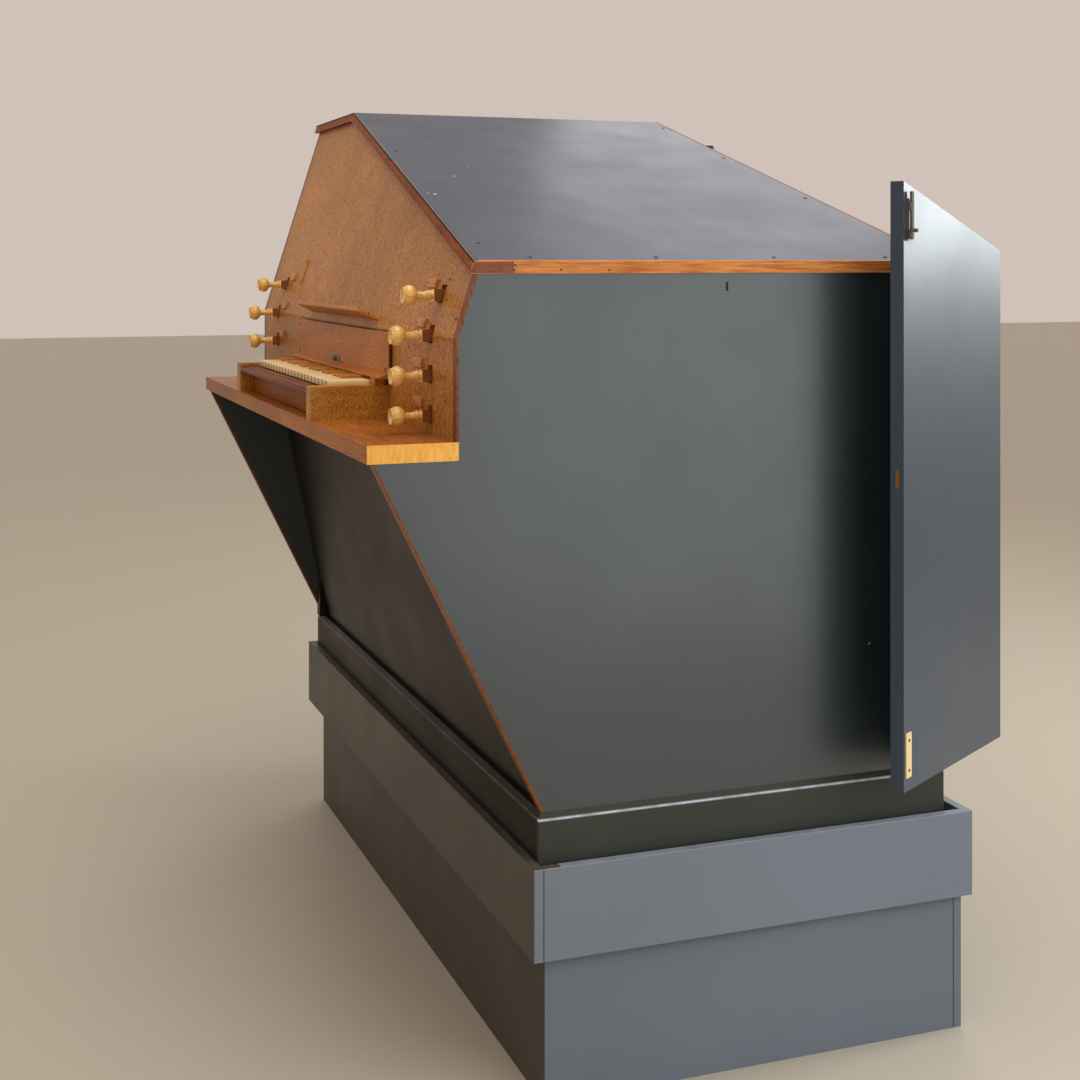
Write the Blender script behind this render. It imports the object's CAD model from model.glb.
"""A small pipe organ on a stepped plinth, seen from the player's right.

Metres. X runs to the player's right, Y from the player to the pipe front, Z up.
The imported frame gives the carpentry; this script adds finishes, keys, pipes and fittings.
"""

import math

import bmesh
import bpy
import numpy as np
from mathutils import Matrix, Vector


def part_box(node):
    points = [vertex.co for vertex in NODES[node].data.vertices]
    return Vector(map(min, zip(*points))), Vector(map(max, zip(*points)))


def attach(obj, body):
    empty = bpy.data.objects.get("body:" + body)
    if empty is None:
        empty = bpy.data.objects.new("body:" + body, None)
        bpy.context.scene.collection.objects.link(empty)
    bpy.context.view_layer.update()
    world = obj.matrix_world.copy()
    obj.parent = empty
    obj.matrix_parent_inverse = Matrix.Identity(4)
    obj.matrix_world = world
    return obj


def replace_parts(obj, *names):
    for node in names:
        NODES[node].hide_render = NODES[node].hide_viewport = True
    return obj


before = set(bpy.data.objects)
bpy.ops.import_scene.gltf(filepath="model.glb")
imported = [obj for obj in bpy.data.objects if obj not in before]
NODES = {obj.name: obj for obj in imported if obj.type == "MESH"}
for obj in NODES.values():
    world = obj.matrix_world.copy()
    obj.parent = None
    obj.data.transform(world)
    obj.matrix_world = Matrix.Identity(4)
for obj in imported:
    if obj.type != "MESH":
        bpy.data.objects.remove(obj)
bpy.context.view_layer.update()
MM = 0.001
CORNER = np.array([900.0, -425.0, 532.0])
X, Y, Z = np.eye(3)
WELD = 1e-6
CREASE = math.radians(35)


# Shapes

def unit(rows):
    """Each row over its own length."""
    return rows / np.linalg.norm(rows, axis=-1, keepdims=True)


def inset(outline, distance):
    """The outline moved inwards: each corner goes along the line that halves its angle,
    by the distance over the cosine between that line and the side's normal."""
    before = unit(outline - np.roll(outline, 1, 0))
    after = unit(np.roll(outline, -1, 0) - outline)
    normal = np.stack([-before[:, 1], before[:, 0]], 1)
    middle = unit(normal + np.stack([-after[:, 1], after[:, 0]], 1))
    return outline + distance * middle / np.sum(middle * normal, 1, keepdims=True)


def rectangle(width, depth, corner, steps=4):
    """A rounded rectangle about the origin: each corner point is the corner's centre plus
    corner times (cos a, sin a), and a runs once round through all four quarters."""
    quarter = np.repeat(np.arange(4), steps + 1)
    angle = (quarter + np.tile(np.linspace(0, 1, steps + 1), 4)) * math.pi / 2
    side = np.stack([np.where((quarter == 0) | (quarter == 3), 1, -1),
                     np.where(quarter < 2, 1, -1)], 1)
    centre = side * [width / 2 - corner, depth / 2 - corner]
    return centre + corner * np.stack([np.cos(angle), np.sin(angle)], 1)


def slab(outline, low, high, edge, steps=3):
    """A board with rounded edges, as a grid of rows by corners. Over a quarter turn t a row
    is the outline moved inwards by edge (1 - sin t), at the height low + edge (1 - cos t);
    the rows near the high face are the same, mirrored."""
    turn = np.linspace(0, math.pi / 2, steps + 1)
    inwards, rise = edge * (1 - np.sin(turn)), edge * (1 - np.cos(turn))
    rows = [(a, low + b) for a, b in zip(inwards, rise)]
    rows += [(a, high - b) for a, b in zip(inwards[::-1], rise[::-1])]
    return np.stack([np.column_stack([inset(outline, a), np.full(len(outline), z)])
                     for a, z in rows])


def turned(radius, height, sides=32):
    """A turned form, as a grid of rows by sides: the point at angle a on a row is
    (radius cos a, radius sin a, height)."""
    angle = np.linspace(0, 2 * math.pi, sides, endpoint=False)
    r, h = np.asarray(radius, float)[:, None], np.asarray(height, float)[:, None]
    return np.stack([r * np.cos(angle), r * np.sin(angle), h + 0 * angle], -1)


def placed(grid, origin, right, up, out):
    """A local point (x, y, z) becomes origin + x right + y up + z out."""
    return np.asarray(origin) + grid @ np.stack([np.asarray(v, float) for v in (right, up, out)])


def at(x, y, z):
    """A place in millimetres from the foot corner of the case's right side, in metres."""
    return (CORNER + [x, y, z]) * MM


def piece(name, shells, finish, body="case"):
    """One object from several closed shells. A shell is a grid of rows by columns that closes
    round its columns: each face joins two neighbours of a row to the two above them, and the
    first and the last row are filled by one face each."""
    points, faces, start = [], [], 0
    for grid in shells:
        rows, columns = grid.shape[:2]
        i, j = np.meshgrid(np.arange(rows - 1), np.arange(columns), indexing="ij")
        k = (j + 1) % columns
        walls = np.stack([i * columns + j, i * columns + k,
                          (i + 1) * columns + k, (i + 1) * columns + j], -1)
        faces += (walls.reshape(-1, 4) + start).tolist()
        faces.append((start + np.arange(columns)[::-1]).tolist())
        faces.append((start + (rows - 1) * columns + np.arange(columns)).tolist())
        points.append(grid.reshape(-1, 3))
        start += rows * columns
    mesh = bpy.data.meshes.new(name)
    mesh.from_pydata(np.concatenate(points).tolist(), [], faces)
    tidy = bmesh_of(mesh)
    bmesh.ops.remove_doubles(tidy, verts=tidy.verts, dist=WELD)
    bmesh.ops.recalc_face_normals(tidy, faces=tidy.faces)
    tidy.to_mesh(mesh)
    tidy.free()
    mesh.shade_smooth()
    mesh.set_sharp_from_angle(angle=CREASE)
    mesh.materials.append(finish)
    thing = bpy.data.objects.new(name, mesh)
    bpy.context.scene.collection.objects.link(thing)
    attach(thing, body)
    return thing


def bmesh_of(mesh):
    """A working copy of a mesh."""
    work = bmesh.new()
    work.from_mesh(mesh)
    return work


# Finishes

def shader(name, **sockets):
    """A new material; each named socket of its shader is set to a plain value."""
    material = bpy.data.materials.new(name)
    material.use_nodes = True
    surface = material.node_tree.nodes["Principled BSDF"]
    for socket, value in sockets.items():
        surface.inputs[socket.replace("_", " ")].default_value = value
    return material, material.node_tree, surface


def add(tree, kind, settings=None, **inputs):
    """Adds a node and returns it. An input that is a socket is linked, any other is set."""
    new = tree.nodes.new("ShaderNode" + kind)
    for key, value in (settings or {}).items():
        setattr(new, key, value)
    for key, value in inputs.items():
        socket = new.inputs[key.replace("_", " ")]
        if isinstance(value, bpy.types.NodeSocket):
            tree.links.new(value, socket)
        else:
            socket.default_value = value
    return new


def noise(tree, size, stretch=(1, 1, 1), detail=4.0, roughness=0.55, distortion=0.0):
    """Soft noise whose features are about size metres across, drawn out by stretch."""
    place = add(tree, "TexCoord").outputs["Object"]
    scale = [1 / s for s in stretch]
    mapped = add(tree, "Mapping", Vector=place, Scale=scale).outputs["Vector"]
    return add(tree, "TexNoise", Vector=mapped, Scale=1 / size, Detail=detail,
               Roughness=roughness, Distortion=distortion).outputs["Fac"]


def spread(tree, value, low, high, to_low=0.0, to_high=1.0):
    """The value's stretch from low to high, carried to another range and cut off outside."""
    return add(tree, "MapRange", {"clamp": True}, Value=value, From_Min=low, From_Max=high,
               To_Min=to_low, To_Max=to_high).outputs["Result"]


def mixed(tree, share, first, second, blend="MIX"):
    """Two colours mixed by a share."""
    return add(tree, "MixRGB", {"blend_type": blend}, Fac=share, Color1=first,
               Color2=second).outputs["Color"]


def maths(tree, operation, first, second=0.0):
    """One sum on two values."""
    new = tree.nodes.new("ShaderNodeMath")
    new.operation = operation
    for socket, value in zip(new.inputs, (first, second)):
        if isinstance(value, bpy.types.NodeSocket):
            tree.links.new(value, socket)
        else:
            socket.default_value = value
    return new.outputs["Value"]


def chips(tree, size, share):
    """Sparse small flecks: one where the nearest of many scattered points is very close."""
    place = add(tree, "TexCoord").outputs["Object"]
    points = add(tree, "TexVoronoi", Vector=place, Scale=1 / size, Randomness=1.0)
    return spread(tree, points.outputs["Distance"], share, share * 0.6)


def bumped(tree, surface, height, distance):
    """Raises the surface by a height pattern; distance is in metres."""
    bump = add(tree, "Bump", Height=height, Distance=distance, Strength=1.0)
    tree.links.new(bump.outputs["Normal"], surface.inputs["Normal"])


def colour(r, g, b):
    """A colour given as the eye sees it, from 0 to 255, turned into shader light."""
    value = np.array([r, g, b]) / 255
    return (*np.where(value <= 0.04045, value / 12.92, ((value + 0.055) / 1.055) ** 2.4), 1.0)


def far_out(tree, place):
    """One on faces that lie further than place from the middle to either side, else zero."""
    where = add(tree, "TexCoord").outputs["Object"]
    x = add(tree, "SeparateXYZ", Vector=where).outputs["X"]
    return maths(tree, "GREATER_THAN", maths(tree, "ABSOLUTE", x), place)


def near_height(tree, height, reach):
    """One at a height, falling to zero at reach above and below it."""
    where = add(tree, "TexCoord").outputs["Object"]
    z = add(tree, "SeparateXYZ", Vector=where).outputs["Z"]
    return spread(tree, maths(tree, "ABSOLUTE", maths(tree, "SUBTRACT", z, height)), reach, 0.0)


# The far end faces begin at these distances from the middle; the faces that look at the
# player lie before PLAYER_SIDE; rubbed and sooty edges lie at these heights. All in metres.
TABLE_END, STRIP_END, BASE_END, TRAY_END, PLINTH_END = 0.8994, 0.9003, 0.8998, 0.9374, 0.8994
PLAYER_SIDE = -0.4
BASE_EDGE, TRAY_EDGE, TRAY_FOOT = 0.5195, 0.443, 0.277


def lacquer(name, dark, light, coat, rough, brush=(1, 1, 14), chip=None, level=0.5,
            ends=None, edge=None, soot=None):
    """Brushed lacquer on board: cloudy tone, fine brush lines and a few pale chips. The
    player's side, within ends[0] of the middle, is multiplied by the dull tone ends[1].
    An edge (height, reach, tone) is rubbed pale; soot is the same, dark and soft."""
    material, tree, surface = shader(name, Coat_Weight=coat, Coat_Roughness=rough, Coat_IOR=1.6,
                                     Specular_IOR_Level=level)
    cloud = noise(tree, 0.55, detail=5)
    lines = noise(tree, 0.0035, brush, detail=3)
    tone = mixed(tree, cloud, dark, light)
    tone = mixed(tree, spread(tree, lines, 0.35, 0.75, 0.0, 0.22), tone, light)
    smear = spread(tree, noise(tree, 0.12, (1, 1, 2.5), detail=6), 0.58, 0.8, 0.0, 0.35)
    tone = mixed(tree, smear, tone, light)
    if edge:
        patch = spread(tree, noise(tree, 0.03, detail=6), 0.35, 0.6, 0.55, 0.95)
        share = maths(tree, "MULTIPLY", near_height(tree, *edge[:2]), patch)
        tone = mixed(tree, share, tone, edge[2])
    if ends:
        y = add(tree, "SeparateXYZ", Vector=add(tree, "TexCoord").outputs["Object"]).outputs["Y"]
        front = maths(tree, "LESS_THAN", y, PLAYER_SIDE)
        inner = maths(tree, "SUBTRACT", 1.0, far_out(tree, ends[0]))
        tone = mixed(tree, maths(tree, "MULTIPLY", inner, front), tone, ends[1], "MULTIPLY")
    if soot:
        tone = mixed(tree, near_height(tree, *soot[:2]), tone, soot[2], "MULTIPLY")
    if chip:
        tone = mixed(tree, chips(tree, 0.19, 0.011), tone, chip)
    tree.links.new(tone, surface.inputs["Base Color"])
    base_rough = spread(tree, noise(tree, 0.2, detail=6), 0.3, 0.7, 0.4, 0.52)
    tree.links.new(base_rough, surface.inputs["Roughness"])
    bumped(tree, surface, maths(tree, "ADD", lines, maths(tree, "MULTIPLY", cloud, 0.4)), 0.0003)
    return material


def wood(name, deep, mid, light, along, fleck=0.5, gloss=0.5, ring=0.012, ends=None,
         grit=0.0032, level=0.15):
    """Varnished wood: long grain lines, short dark flecks in the same direction, and a slow
    change of tone from board to board. The stretch along is the direction of the grain.
    Beyond ends[0] to either side the tone runs from ends[1] to ends[2] instead, in lines
    drawn out by ends[3]."""
    material, tree, surface = shader(name, Coat_Weight=gloss, Coat_Roughness=0.16,
                                     Specular_IOR_Level=level)
    long_grain = tuple(1 + 22 * a for a in along)
    short_grain = tuple(1 + 3.2 * a for a in along)
    bands = noise(tree, ring, long_grain, detail=5, roughness=0.6, distortion=0.6)
    flecks = noise(tree, grit, short_grain, detail=3, roughness=0.7)
    slow = noise(tree, 0.35, detail=4)
    tone = mixed(tree, spread(tree, bands, 0.3, 0.7), mid, light)
    tone = mixed(tree, spread(tree, slow, 0.35, 0.75, 0.0, 0.5), tone, deep)
    tone = mixed(tree, spread(tree, flecks, 0.5, 0.64, 0.0, fleck), tone, deep)
    if ends:
        lines = noise(tree, 0.006, ends[3], detail=4)
        cut = mixed(tree, spread(tree, lines, 0.35, 0.65), ends[1], ends[2])
        tone = mixed(tree, far_out(tree, ends[0]), tone, cut)
    tree.links.new(tone, surface.inputs["Base Color"])
    rough = spread(tree, bands, 0.2, 0.8, 0.33, 0.5)
    tree.links.new(rough, surface.inputs["Roughness"])
    bumped(tree, surface, maths(tree, "ADD", flecks, bands), 0.00025)
    return material


def metal(name, dark, light, rough):
    """Dull metal with soft clouds and fine drawn lines up its length."""
    material, tree, surface = shader(name, Metallic=1.0)
    cloud = noise(tree, 0.04, detail=5)
    lines = noise(tree, 0.002, (1, 1, 30), detail=2)
    tree.links.new(mixed(tree, cloud, dark, light), surface.inputs["Base Color"])
    tree.links.new(spread(tree, cloud, 0.3, 0.7, rough, rough + 0.15), surface.inputs["Roughness"])
    bumped(tree, surface, lines, 0.0001)
    return material


def turned_stop(name, joint_y):
    """Pale boxwood on the knob's side of the joint, brown wood on the rod's side."""
    material, tree, surface = shader(name, Coat_Weight=1.0, Coat_Roughness=0.1)
    place = add(tree, "TexCoord").outputs["Object"]
    y = add(tree, "SeparateXYZ", Vector=place).outputs["Y"]
    rings = noise(tree, 0.004, (1, 9, 1), detail=4)
    pale = mixed(tree, spread(tree, rings, 0.3, 0.75), colour(232, 166, 66), colour(255, 222, 132))
    brown = mixed(tree, rings, colour(104, 50, 18), colour(160, 92, 40))
    rod = maths(tree, "GREATER_THAN", y, joint_y)
    tree.links.new(mixed(tree, rod, pale, brown), surface.inputs["Base Color"])
    tree.links.new(spread(tree, rings, 0.3, 0.7, 0.3, 0.42), surface.inputs["Roughness"])
    bumped(tree, surface, rings, 0.0001)
    return material


def plain(name, tone, rough, speckle=0.1, size=0.01):
    """One tone with a faint speckle."""
    material, tree, surface = shader(name)
    grain = noise(tree, size, detail=5)
    light = tuple(min(1, c * (1 + speckle) + 0.01 * speckle) for c in tone[:3]) + (1,)
    tree.links.new(mixed(tree, grain, tone, light), surface.inputs["Base Color"])
    tree.links.new(spread(tree, grain, 0.3, 0.7, rough, rough + 0.1), surface.inputs["Roughness"])
    bumped(tree, surface, grain, 0.0002)
    return material


GREY = lacquer("grey_lacquer", colour(24, 34, 38), colour(40, 52, 57), 0.58, 0.3,
               chip=colour(200, 198, 190))
DOOR = lacquer("door_lacquer", colour(24, 42, 58), colour(40, 60, 80), 0.46, 0.28,
               chip=colour(200, 198, 190), level=0.42)
ROOF = lacquer("roof_lacquer", colour(24, 44, 66), colour(42, 62, 86), 0.3, 0.24,
               brush=(14, 1, 1), chip=colour(190, 188, 182), level=0.38)
BLACK = lacquer("black_lacquer", colour(16, 14, 9), colour(28, 25, 17), 0.1, 0.3,
                brush=(14, 14, 1), chip=colour(150, 146, 136), level=0.12)
BASE = lacquer("base_lacquer", colour(46, 48, 44), colour(66, 68, 62), 0.06, 0.3,
               brush=(14, 14, 1), chip=colour(170, 166, 156), level=0.1,
               ends=(BASE_END, colour(120, 104, 84)),
               edge=(BASE_EDGE, 0.003, colour(206, 220, 232)))
TRAY = lacquer("tray_paint", colour(102, 112, 124), colour(118, 128, 141), 0.12, 0.4,
               brush=(12, 12, 1), level=0.3, ends=(TRAY_END, colour(160, 144, 112)),
               edge=(TRAY_EDGE, 0.0022, colour(150, 160, 176)))
PLINTH = lacquer("plinth_paint", colour(96, 105, 117), colour(110, 120, 133), 0.1, 0.4,
                 brush=(12, 12, 1), level=0.3, ends=(PLINTH_END, colour(148, 128, 92)),
                 soot=(TRAY_FOOT, 0.03, colour(168, 160, 138)))
VENEER = wood("speckled_veneer", colour(82, 38, 6), colour(186, 116, 46), colour(224, 158, 76),
              (0, 0, 0.4), fleck=1.0, gloss=0.06, grit=0.003)
CHEEK = wood("cheek_veneer", colour(80, 38, 4), colour(186, 120, 42), colour(224, 168, 80),
             (0, 0.2, 0), fleck=0.95, gloss=0.08, grit=0.0024)
NAME_BOARD = wood("name_board_wood", colour(78, 32, 4), colour(180, 102, 30), colour(214, 140, 58),
                  (1, 0, 0), fleck=0.7, gloss=0.06)
PLANK = wood("varnished_plank", colour(84, 36, 4), colour(164, 90, 28), colour(204, 130, 52),
             (1, 0, 0), fleck=0.7, gloss=0.2, level=0.1,
             ends=(TABLE_END, colour(238, 164, 62), colour(250, 190, 90), (1, 1, 5)))
STRIP = wood("edge_strip", colour(64, 24, 4), colour(142, 68, 22), colour(176, 96, 38),
             (1, 0, 0.3), fleck=0.7, gloss=0.0, level=0.04,
             ends=(STRIP_END, colour(176, 100, 52), colour(222, 150, 84), (1, 16, 1)))
FRONT_STRIP = wood("front_strip", colour(60, 24, 8), colour(120, 60, 22), colour(154, 86, 34),
                   (0, 0.4, 1), fleck=0.6, gloss=0.12)
SLIP = wood("slip_strip", colour(56, 18, 4), colour(112, 50, 14), colour(144, 78, 30),
            (1, 0, 0), fleck=0.6, gloss=0.1, level=0.08)
SLIP_BOARD = wood("slip_board_wood", colour(80, 36, 4), colour(152, 84, 20), colour(178, 106, 34),
                  (1, 0, 0), fleck=0.5, gloss=0.0, level=0.06)
KEY_PALE = wood("key_wood", colour(216, 176, 104), colour(250, 222, 152), colour(255, 238, 184),
                (0, 1, 0), fleck=0.2, gloss=0.4, ring=0.004)
KEY_BROWN = wood("sharp_wood", colour(120, 64, 16), colour(178, 108, 34), colour(206, 140, 58),
                 (0, 1, 0), fleck=0.4, gloss=0.3, ring=0.004)
LABEL = wood("label_wood", colour(110, 58, 14), colour(196, 126, 56), colour(224, 160, 84),
             (1, 0, 0), fleck=0.4, gloss=0.1)
INNER = wood("inner_wood", colour(150, 108, 62), colour(190, 148, 98), colour(214, 176, 126),
             (1, 0, 0), fleck=0.35, gloss=0.1)
BED = wood("bed_wood", colour(40, 22, 12), colour(66, 40, 22), colour(84, 54, 32),
           (1, 0, 0), fleck=0.35, gloss=0.0)
PIPE_WOOD = wood("pipe_wood", colour(132, 84, 44), colour(182, 128, 76), colour(206, 156, 100),
                 (0, 0, 1), fleck=0.35, gloss=0.2)
PIPE = metal("pipe_metal", colour(150, 152, 154), colour(196, 198, 198), 0.28)
STEEL = metal("dull_steel", colour(84, 80, 74), colour(132, 128, 120), 0.4)
DARK = plain("dark_hole", colour(16, 13, 11), 0.7)
RUBBED = plain("rubbed_edge", colour(138, 130, 126), 0.5)
CHIP = plain("chipped_ground", colour(196, 194, 186), 0.6)
EAVE_END = wood("eave_end_wood", colour(76, 34, 20), colour(128, 70, 46), colour(152, 90, 62),
                (0, 1, 0), fleck=0.6, gloss=0.04)
BAND_FOOT = wood("band_foot_veneer", colour(70, 32, 6), colour(152, 96, 40), colour(186, 130, 64),
                 (0, 0, 0.4), fleck=0.9, gloss=0.0, level=0.06)
SCREW = metal("screw_steel", colour(60, 56, 50), colour(96, 90, 80), 0.35)
BARE = wood("bare_strip", colour(190, 150, 96), colour(232, 204, 146), colour(240, 218, 170),
            (0, 0, 1), fleck=0.25, gloss=0.1)

# Every node has a finish, also those that a finer piece stands for further down.
FINISHES = {
    "sub_plinth_long_boards": PLINTH, "sub_plinth_cross_boards": PLINTH,
    "tray_long_boards": TRAY, "tray_end_boards": TRAY, "plinth_deck": PLINTH,
    "base_long_rails": BASE, "base_end_rails": BASE, "lower_front_panel": BLACK,
    "cable_duct": BLACK, "case_floor": GREY, "side_panel_right": GREY, "side_panel_left": GREY,
    "front_edge_lippings": FRONT_STRIP, "key_table": PLANK, "console_wall_lower": VENEER,
    "console_wall_upper": VENEER, "music_ledge": VENEER, "key_cheeks": CHEEK,
    "key_slip": SLIP, "key_frame": BED, "natural_keys": KEY_PALE, "sharp_keys": KEY_BROWN,
    "name_board": NAME_BOARD, "name_board_ledge": NAME_BOARD, "roof_slope_board": ROOF,
    "roof_top_board": ROOF, "roof_edge_bands": STRIP, "door_rail_board": GREY,
    "door_right_narrow": DOOR, "door_right_wide": DOOR, "door_left_narrow": DOOR,
    "door_left_wide": DOOR, "door_hinges": STEEL, "door_bolts": STEEL, "lower_screen": GREY,
    "wind_chest": INNER, "toe_board": INNER, "rack_board": INNER, "metal_pipes": PIPE,
    "wooden_pipes": PIPE_WOOD, "stop_guides": INNER,
}

KNOB_LENGTH = 59 * MM
for name, thing in NODES.items():
    if name in FINISHES:
        finish = FINISHES[name]
    else:
        joint_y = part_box(name)[0].y + KNOB_LENGTH
        finish = turned_stop("boxwood_" + name, joint_y)
    thing.data.materials.clear()
    thing.data.materials.append(finish)


# Keyboard

# The naturals share the node's width evenly. A natural has a rounded nose and a wide head;
# its tail steps in beside a sharp, with some room left.
KEYS = 22
keys_low, keys_high = (np.array(corner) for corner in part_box("natural_keys"))
PITCH = (keys_high[0] - keys_low[0]) / KEYS
GAP = 2 * MM
NOSE = 6 * MM
HEAD = 39 * MM
PLAIN_STEP = 20 * MM
SHARP = 14 * MM
SHARP_ROOM = 1.2 * MM
SHARP_PLACES = (1, 2, 4, 5, 6)


def has_sharp(edge):
    """Whether a sharp stands over the joint left of natural number edge."""
    return edge % 7 in SHARP_PLACES and 0 < edge < KEYS


def natural(number, low, high, head):
    """Plan of one natural, fourteen corners: a full-width head with front corners rounded by
    nose (1 - cos t, 1 - sin t), t over a quarter turn; then a tail that steps in beside a
    sharp by half the sharp and its clearance. A plain side has its step moved up the same
    straight line, so that every key has the same corners."""
    left, right = low[0] + number * PITCH, low[0] + (number + 1) * PITCH
    cut = SHARP / 2 + SHARP_ROOM
    x0, x1 = left + GAP / 2, right - GAP / 2
    a = (left + cut, head) if has_sharp(number) else (x0, head + PLAIN_STEP)
    b = (right - cut, head) if has_sharp(number + 1) else (x1, head + PLAIN_STEP)
    t = np.radians([0, 30, 60, 90])
    across, back = NOSE * (1 - np.cos(t)), low[1] + NOSE * (1 - np.sin(t))
    return np.concatenate([np.column_stack([x0 + across, back]),
                           np.column_stack([x1 - across, back])[::-1],
                           [(x1, head), b, (b[0], high[1]), (a[0], high[1]), a, (x0, head)]])


slip_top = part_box("key_slip")[1].z
head = keys_low[1] + HEAD
caps = [slab(natural(n, keys_low, keys_high, head), slip_top + 0.5 * MM, keys_high[2], 1.6 * MM)
        for n in range(KEYS)]
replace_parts(piece("natural_key_caps", caps, KEY_PALE), "natural_keys")
gap_plan = rectangle(7 * MM, 6 * MM, 0.3 * MM)
gaps = [slab(gap_plan + [keys_low[0] + n * PITCH, keys_low[1] + 4 * MM],
             slip_top + 0.3 * MM, keys_high[2] - 1.4 * MM, 0.2 * MM) for n in range(1, KEYS)]
piece("key_joints", gaps, BED)

rise_low, rise_high = (np.array(corner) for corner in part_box("sharp_keys"))
length = rise_high[1] - rise_low[1]
sharps = [slab(rectangle(SHARP, length, 2 * MM)
               + [keys_low[0] + n * PITCH, (rise_low[1] + rise_high[1]) / 2],
               rise_low[2], rise_high[2], 1.8 * MM)
          for n in range(KEYS) if has_sharp(n)]
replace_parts(piece("sharp_key_caps", sharps, KEY_BROWN), "sharp_keys")

SLIP_THICK = 12 * MM
SLIP_BACK = 38 * MM
slip_low, slip_high = (np.array(corner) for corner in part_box("key_slip"))
slip_middle = (slip_low[0] + slip_high[0]) / 2
slip_width = slip_high[0] - slip_low[0]
slip_depth = keys_low[1] - 0.5 * MM - slip_low[1]
slip = slab(rectangle(slip_width, slip_depth, 0.5 * MM)
            + [slip_middle, slip_low[1] + slip_depth / 2],
            slip_high[2] - SLIP_THICK, slip_high[2], 3 * MM)
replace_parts(piece("slip_top_strip", [slip], SLIP), "key_slip")
front = slab(rectangle(slip_width, SLIP_THICK, 0.5 * MM)
             + [slip_middle, slip_low[1] + SLIP_BACK],
             slip_low[2], slip_high[2] - SLIP_THICK, 0.5 * MM)
piece("slip_front_board", [front], SLIP_BOARD)


# Music ledge and base frame

TILT = math.radians(25)
BEVEL, BEVEL_RUN = 13 * MM, 8 * MM
ledge = slab(np.array([(-1207, -3), (-550, -3), (-580, 46), (-1180, 46)]) * MM,
             -9 * MM, 0.0, 1.2 * MM)
ledge_up = np.array([0, -math.cos(TILT), math.sin(TILT)])
ledge = placed(ledge, at(0, -157, 873.5), X, ledge_up, np.cross(X, ledge_up))
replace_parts(piece("tilted_ledge", [ledge], VENEER), "music_ledge")


def base_frame(low, high, bevel, over):
    """The base as a grid of heights by corners. Up to the bevel a row is the outer plan; above
    it a row is outer (1 - t) + inner t, where t runs from 0 to 1 over the bevel's height and
    inner is the plan drawn in by over on three sides, the pipe side staying where it is."""
    width, depth = high[0] - low[0], high[1] - low[1]
    outer = rectangle(width, depth, 2 * MM) + (low[:2] + high[:2]) / 2
    inner = (rectangle(width - 2 * over, depth - over, 1 * MM)
             + [(low[0] + high[0]) / 2, (low[1] + high[1] + over) / 2])
    steps = [(low[2], 0), (high[2] - bevel - MM, 0), (high[2] - bevel, 0.02),
             (high[2] - bevel + MM, 0.1), (high[2], 1)]
    return np.stack([np.column_stack([outer * (1 - t) + inner * t, np.full(len(outer), z)])
                     for z, t in steps])


ends_low, ends_high = (np.array(corner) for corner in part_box("base_end_rails"))
rails_low, rails_high = (np.array(corner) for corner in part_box("base_long_rails"))
frame_shell = base_frame(np.minimum(ends_low, rails_low), np.maximum(ends_high, rails_high),
                         BEVEL, BEVEL_RUN)
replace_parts(piece("base_frame", [frame_shell], BASE),
            "base_long_rails", "base_end_rails")


# Small fittings

def seams(node, along_y, side, thick=1.8):
    """Thin dark joint lines down a node's near side face, one at each distance in millimetres
    from its low end (or, below zero, from its high end)."""
    low, high = (np.array(corner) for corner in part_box(node))
    middle, tall = (low[2] + high[2]) / 2, (high[2] - low[2]) / MM - 3
    places = [(low[1] if d > 0 else high[1]) + d * MM for d in along_y]
    return [plate(np.array([side, y, middle]), thick, tall, 0.3, Y, Z, X, corner=0.4, edge=0.1)
            for y in places]


# In millimetres, as at() takes them: the wall's face and the height where it begins to lean
# back, and the eave's face and height.
WALL_FACE, WALL_BREAK = -161, 860
EAVE_FACE, EAVE_TOP = 6, 1000
LEAN = math.radians(17.4)
WALL_UP = np.array([0, math.sin(LEAN), math.cos(LEAN)])
WALL_OUT = np.array([0, -math.cos(LEAN), math.sin(LEAN)])
ROOF_RISE = 383 / 1377
ROOF_OUT = unit(np.array([ROOF_RISE, 0, 1.0]))


def wall_place(x, z):
    """A place on the console wall's face; above the break the face leans back."""
    return at(x, WALL_FACE + max(z - WALL_BREAK, 0) * math.tan(LEAN), z)


def roof_place(x, y):
    """A place on the roof's slope, which rises by ROOF_RISE per length to the left."""
    return at(x, y, EAVE_TOP - ROOF_RISE * x)


def screw(origin, up, out, radius=4.0):
    """A low round screw head with a dished middle, as a turned form along out."""
    shape = turned(np.array([1, 1, 0.8, 0.35, 0.2]) * radius * MM,
                   np.array([-1.0, 0.4, 1.1, 1.1, 0.7]) * MM, 16)
    return placed(shape, origin, np.cross(up, out), up, out)


def plate(origin, width, height, thick, right, up, out, corner=1.0, edge=0.6):
    """A bare rounded plate standing on a face by its thickness."""
    shape = slab(rectangle(width * MM, height * MM, corner * MM), -0.5 * MM, thick * MM, edge * MM)
    return placed(shape, origin, right, up, out)


tray_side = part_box("tray_end_boards")[1].x
plinth_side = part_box("sub_plinth_cross_boards")[1].x
piece("plinth_seams", seams("tray_long_boards", (18,), tray_side)
      + seams("sub_plinth_long_boards", (-18,), plinth_side), BED)

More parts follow.
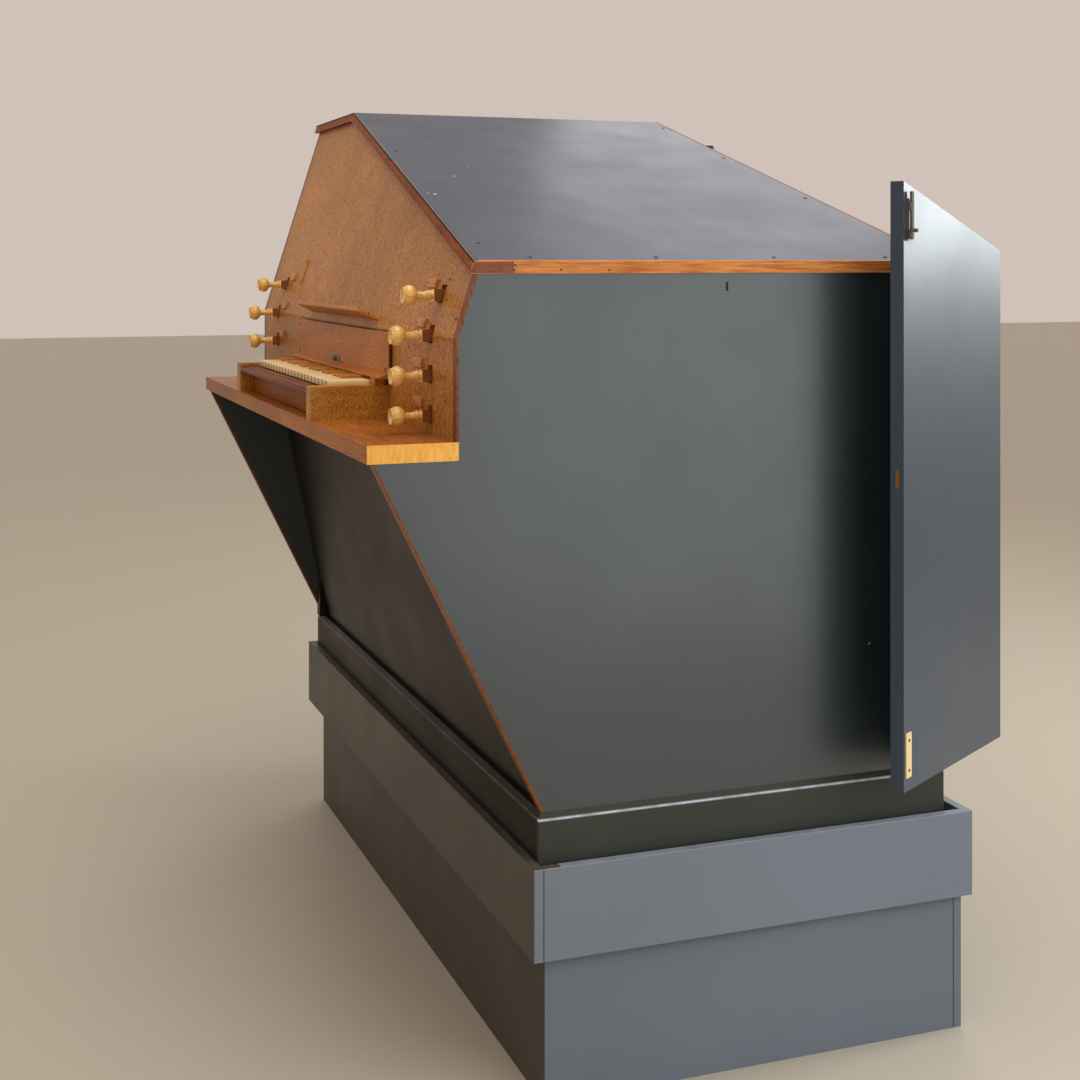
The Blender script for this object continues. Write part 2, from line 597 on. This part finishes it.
LABEL_LOW, STOP_STEP, LABEL_THICK = 729.5, 75, 6
labels, label_screws = [], []
for middle in (-233, -1537):
    for number in range(4):
        z = LABEL_LOW + STOP_STEP * number
        up, out = (WALL_UP, WALL_OUT) if z > WALL_BREAK else (Z, -Y)
        labels.append(plate(wall_place(middle, z), 54, 18, LABEL_THICK, X, up, out))
        label_screws += [screw(wall_place(middle + shift, z) + LABEL_THICK * MM * out,
                               up, out, 1.2) for shift in (-21, 21)]
piece("stop_label_plates", labels, LABEL)
piece("stop_label_screws", label_screws, SCREW)

BATTEN_X, BATTEN_THICK = -1423, 4
piece("wall_batten", [plate(wall_place(BATTEN_X, 968), 10, 70, BATTEN_THICK,
                            X, WALL_UP, WALL_OUT)], LABEL)
wall_screws = [screw(wall_place(BATTEN_X, z) + BATTEN_THICK * MM * WALL_OUT,
                     WALL_UP, WALL_OUT, 2.5) for z in (942, 994)]
wall_screws += [screw(wall_place(x, z), WALL_UP, WALL_OUT, 3)
                for x, z in ((-143, 964), (-34, 893))]
piece("wall_screws", wall_screws, SCREW)

roof_screws = [screw(roof_place(x, y), Y, ROOF_OUT)
               for x, y in ((-113, -83), (-19, -15), (-19, 236), (-20, 485), (-21, 733),
                            (-507, 829), (-923, 832), (-1296, 835), (-913, -22))]
piece("roof_screws", roof_screws, SCREW)

RIDGE, ROOF_LEFT, ROOF_RIGHT, ROOF_TOP = -1377, -1817.8, 5.9, 1383
BAND_FRONT = 11 / math.cos(LEAN)  # how far the roof's band stands before the wall
DOWN_ROOF = unit(np.array([1, 0, -ROOF_RISE]))


def band_y(z):
    """How far back the roof's front edge lies at a height, in millimetres."""
    return WALL_FACE - BAND_FRONT + (z - WALL_BREAK) * math.tan(LEAN)


def film(outline, thick=0.3):
    """A thin cover that stands on a face by its thickness; outline and thickness in millimetres."""
    return slab(np.asarray(outline) * MM, -0.4 * MM, thick * MM, 0.1 * MM)


def front_strip(drop, foot, stretches):
    """A strip on the band's leaning front face, from drop to foot below the roof's top line,
    both measured upright; the line rises by ROOF_RISE per length and is level past the ridge.
    One stretch ends at the ridge, two go on to the left end."""
    across = np.array([ROOF_RIGHT, RIDGE, ROOF_LEFT][:stretches + 1])
    top = np.minimum(EAVE_TOP - ROOF_RISE * across, ROOF_TOP)
    rows = [np.column_stack([across, (top - d - WALL_BREAK) / math.cos(LEAN)])
            for d in (foot, drop)]
    outline = np.concatenate([rows[0][:1], rows[1], rows[0][:0:-1]])
    return placed(film(outline, 0.4), at(0, band_y(WALL_BREAK), WALL_BREAK), X, WALL_UP, WALL_OUT)


def top_strip(front, back):
    """A strip on the roof's slope along its front edge, from front to back behind the edge."""
    run = math.hypot(1, ROOF_RISE)
    edge = [(x * run, band_y(EAVE_TOP - ROOF_RISE * x)) for x in (RIDGE + 3, ROOF_RIGHT)]
    outline = [(x, y + front) for x, y in edge] + [(x, y + back) for x, y in edge[::-1]]
    return placed(film(outline), at(0, 0, EAVE_TOP), DOWN_ROOF, Y, ROOF_OUT)


piece("roof_front_foot", [front_strip(18.8, 22.8, 1)], BAND_FOOT)
piece("roof_front_line", [front_strip(0.3, 3.8, 2)], DARK)
piece("roof_foot_line", [front_strip(17.2, 18.8, 1)], BED)
piece("roof_rubbed_edge", [top_strip(0.2, 1.6)], RUBBED)
piece("roof_front_lip", [top_strip(1.6, 7.0)], ROOF)
EAVE_LOW, EAVE_HIGH, END_BACK = 976.5, 997, -54.5
eave_end = film([(band_y(EAVE_LOW), EAVE_LOW), (END_BACK, EAVE_LOW),
                 (END_BACK, EAVE_HIGH), (band_y(EAVE_HIGH), EAVE_HIGH)])
piece("eave_end_strip", [placed(eave_end, at(EAVE_FACE, 0, 0), Y, Z, X)],
      EAVE_END)
eave_holes = [plate(at(EAVE_FACE, y, z), 4.5, 2.5, 0.5, Y, Z, X, corner=1.2, edge=0.1)
              for y, z in ((-52, 991), (-54, 982), (36, 982.5), (131, 981.5))]
piece("eave_holes", eave_holes, DARK)

# A chip's corners stay under half its width, so that all its sides have a length.
roof_chips = [plate(roof_place(x, y), long, wide, 0.2, DOWN_ROOF, Y, ROOF_OUT,
                    corner=min(1.5, 0.49 * wide), edge=0.1)
              for x, y, long, wide in ((-494, -53, 11, 4.5), (-502, -65, 6, 3), (-768, 107, 5, 3),
                                       (-664, 43, 7, 4))]
piece("roof_chips", roof_chips, CHIP)

BOARD_FACE = -170
lock = at(-892, BOARD_FACE, 774.5)
piece("name_board_plate", [plate(lock, 78, 17, 1.5, X, Z, -Y, corner=8)], STEEL)
piece("name_board_slot",
      [plate(lock - [0, 1.2 * MM, 0], 32, 9, 0.6, X, Z, -Y, corner=2, edge=0.2)],
      DARK)
pegs = [screw(at(x, BOARD_FACE, z), Z, -Y, 2) for x in (-452, -1282) for z in (774, 779, 838)]
piece("name_board_pegs", pegs, DARK)
board_joints = [plate(at(-866, WALL_FACE, 854.5), 876, 3, 0.4, X, Z, -Y, corner=0.5, edge=0.1),
                plate(at(-430, -165, 806), 6, 91, 0.3, Y, Z, X, corner=0.5, edge=0.1)]
piece("name_board_joints", board_joints, BED)
piece("side_keyhole", [plate(at(0, 374.5, 950), 5, 18, 0.4, Y, Z, X, corner=2.4, edge=0.2)],
      DARK)


# Fittings on the wide right leaf

# The leaf is drawn closed, then turned about the fold and about the hinge, in plan.
HINGE, HINGE_TURN = np.array([-20.0, 855.5]), -62.5
FOLD, FOLD_TURN = np.array([-222.0, 855.5]), -175.6
LEAF_FACE, LEAF_MIDDLE, LEAF_EDGE = 823, 836.5, -683
STRIP_THICK = 2.5


def turn(points, centre, degrees):
    """Points in plan turned about a centre: (x cos a - y sin a, x sin a + y cos a)."""
    a = math.radians(degrees)
    moved = points - centre
    return centre + np.stack([moved[..., 0] * math.cos(a) - moved[..., 1] * math.sin(a),
                              moved[..., 0] * math.sin(a) + moved[..., 1] * math.cos(a)], -1)


def folded(grid):
    """Carries what is drawn on the closed leaf, in metres, to where the folded leaf stands."""
    local = grid / MM - CORNER
    plan = turn(turn(local[..., :2], FOLD, FOLD_TURN), HINGE, HINGE_TURN)
    return (np.concatenate([plan, local[..., 2:]], -1) + CORNER) * MM


strip_x, strip_z = LEAF_EDGE + 18, 75
foot_strip = plate(at(strip_x, LEAF_FACE, strip_z), 22, 84, STRIP_THICK, X, Z, -Y)
piece("door_foot_strip", [folded(foot_strip)], BARE)
strip_screws = [screw(at(strip_x, LEAF_FACE - STRIP_THICK, strip_z + dz), Z, -Y, 3)
                for dz in (-28, 28)]
piece("door_strip_screws", [folded(one) for one in strip_screws], SCREW)
notch = plate(at(LEAF_EDGE, LEAF_MIDDLE, 590), 6, 34, 0.5, -Y, Z, -X, edge=0.2)
piece("door_lock_notch", [folded(notch)], SLIP_BOARD)


# Front pipes

PIPES = 25
NARROW, WIDE = 13, 29
ROW_START, ROW_LENGTH, ROW_Y = -20, 1760, 740
TOE_TOP = 435.0
FOOT = 190.0
TOE_RADIUS = 5
ROOF_THICK, TOP_UNDERSIDE = 22, 1361
HEADROOM = 87  # between the roof and the tallest pipes


def metal_pipe(number, sides=28):
    """A pipe as a grid of rows by sides, in millimetres. The radius rises evenly up the foot,
    stays level along the body, turns over the rim and comes down inside. At the mouth it is
    pressed flat: the radius loses a share that falls off from the pipe's front like
    exp(-(a / 0.6)^2) and up and down like half a cosine; in the mouth itself it loses more."""
    radius = NARROW * (WIDE / NARROW) ** (number / (PIPES - 1))
    x = ROW_START - (number + 1) * ROW_LENGTH / (PIPES + 1)
    under = min(EAVE_TOP - ROOF_RISE * x - ROOF_THICK * math.hypot(1, ROOF_RISE), TOP_UNDERSIDE)
    top = under - HEADROOM - TOE_TOP - 30 * math.sin(math.radians(number * 67))
    press = np.linspace(-1, 1, 15)
    heights = np.concatenate([[0, 60, 120], FOOT + radius * (0.2 + 1.7 * press),
                              [top - 200, top - 1, top, top - 1, top - 120]])
    rises = np.clip(heights / FOOT, 0, 1)
    wide = TOE_RADIUS + (radius - TOE_RADIUS) * rises
    wide[-2:] -= 1.2
    wide[-3] -= 0.6
    depth = np.zeros(len(heights))
    depth[3:18] = 0.28 * np.cos(press * math.pi / 2)
    mouth = (np.abs(heights - FOOT - 0.25 * radius) < 0.24 * radius) & (depth > 0)
    angle = np.linspace(0, 2 * math.pi, sides, endpoint=False)
    away = np.abs((angle - math.pi / 2 + math.pi) % (2 * math.pi) - math.pi)
    share = depth[:, None] * np.exp(-(away / 0.6) ** 2)
    share = share + 0.35 * mouth[:, None] * (away < 0.72)
    r = wide[:, None] * (1 - share)
    grid = np.stack([x + r * np.cos(angle), ROW_Y + r * np.sin(angle),
                     TOE_TOP + heights[:, None] + 0 * r], -1)
    return (grid + CORNER) * MM


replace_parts(piece("pipe_row", [metal_pipe(n) for n in range(PIPES)], PIPE),
            "metal_pipes")


# Stage, light and camera

def floor_piece(name, half, tone):
    """A flat square floor."""
    mesh = bpy.data.meshes.new(name)
    mesh.from_pydata([(-half, -half, 0), (half, -half, 0), (half, half, 0), (-half, half, 0)],
                     [], [(0, 1, 2, 3)])
    mesh.materials.append(plain("floor_finish", tone, 0.5, 0.05, 0.3))
    thing = bpy.data.objects.new(name, mesh)
    bpy.context.scene.collection.objects.link(thing)


def soft_light(name, place, aim, size, power, tone=(1, 1, 1)):
    """A square area light that points at a place."""
    lamp = bpy.data.lights.new(name, "AREA")
    lamp.shape, lamp.size, lamp.energy, lamp.color = "SQUARE", size, power, tone
    thing = bpy.data.objects.new(name, lamp)
    thing.location = place
    thing.rotation_euler = (Vector(aim) - Vector(place)).to_track_quat("-Z", "Y").to_euler()
    thing.visible_camera = False
    bpy.context.scene.collection.objects.link(thing)


bpy.context.scene.view_settings.view_transform = "Standard"
floor_piece("floor", 30, colour(196, 188, 172))
soft_light("side_window", (2.9, 0.85, 1.35), (0.9, 0.0, 1.0), 2.2, 30, (0.9, 0.98, 1.0))
soft_light("back_window", (0.45, 4.6, 2.2), (0.9, 0.3, 1.9), 1.3, 74, (0.92, 0.99, 1.0))
soft_light("far_window", (-4.5, 3.0, 3.6), (0, 0, 1.6), 2.2, 26, (0.93, 0.97, 1.0))
soft_light("ceiling", (0.9, -0.6, 4.4), (0.3, -0.2, 1.0), 2.5, 50, (1.0, 0.97, 0.93))

world = bpy.data.worlds.new("room")
world.use_nodes = True
world.node_tree.nodes["Background"].inputs["Color"].default_value = colour(208, 194, 184)
world.node_tree.nodes["Background"].inputs["Strength"].default_value = 1.0
bpy.context.scene.world = world

PHOTO_WIDTH = 1080
FOCAL_PIXELS = 1637.2
HORIZON_ROW = 260.5
SENSOR = 36.0
CAMERA_PLACE, CAMERA_TURN = (3.679, -1.455, 1.531), 69.707
camera_data = bpy.data.cameras.new("photo_camera")
camera_data.sensor_width = SENSOR
camera_data.lens = FOCAL_PIXELS / PHOTO_WIDTH * SENSOR
camera_data.shift_y = HORIZON_ROW / PHOTO_WIDTH - 0.5
camera = bpy.data.objects.new("photo_camera", camera_data)
camera.location = CAMERA_PLACE
camera.rotation_euler = (math.radians(90), 0, math.radians(CAMERA_TURN))
bpy.context.scene.collection.objects.link(camera)
bpy.context.scene.camera = camera
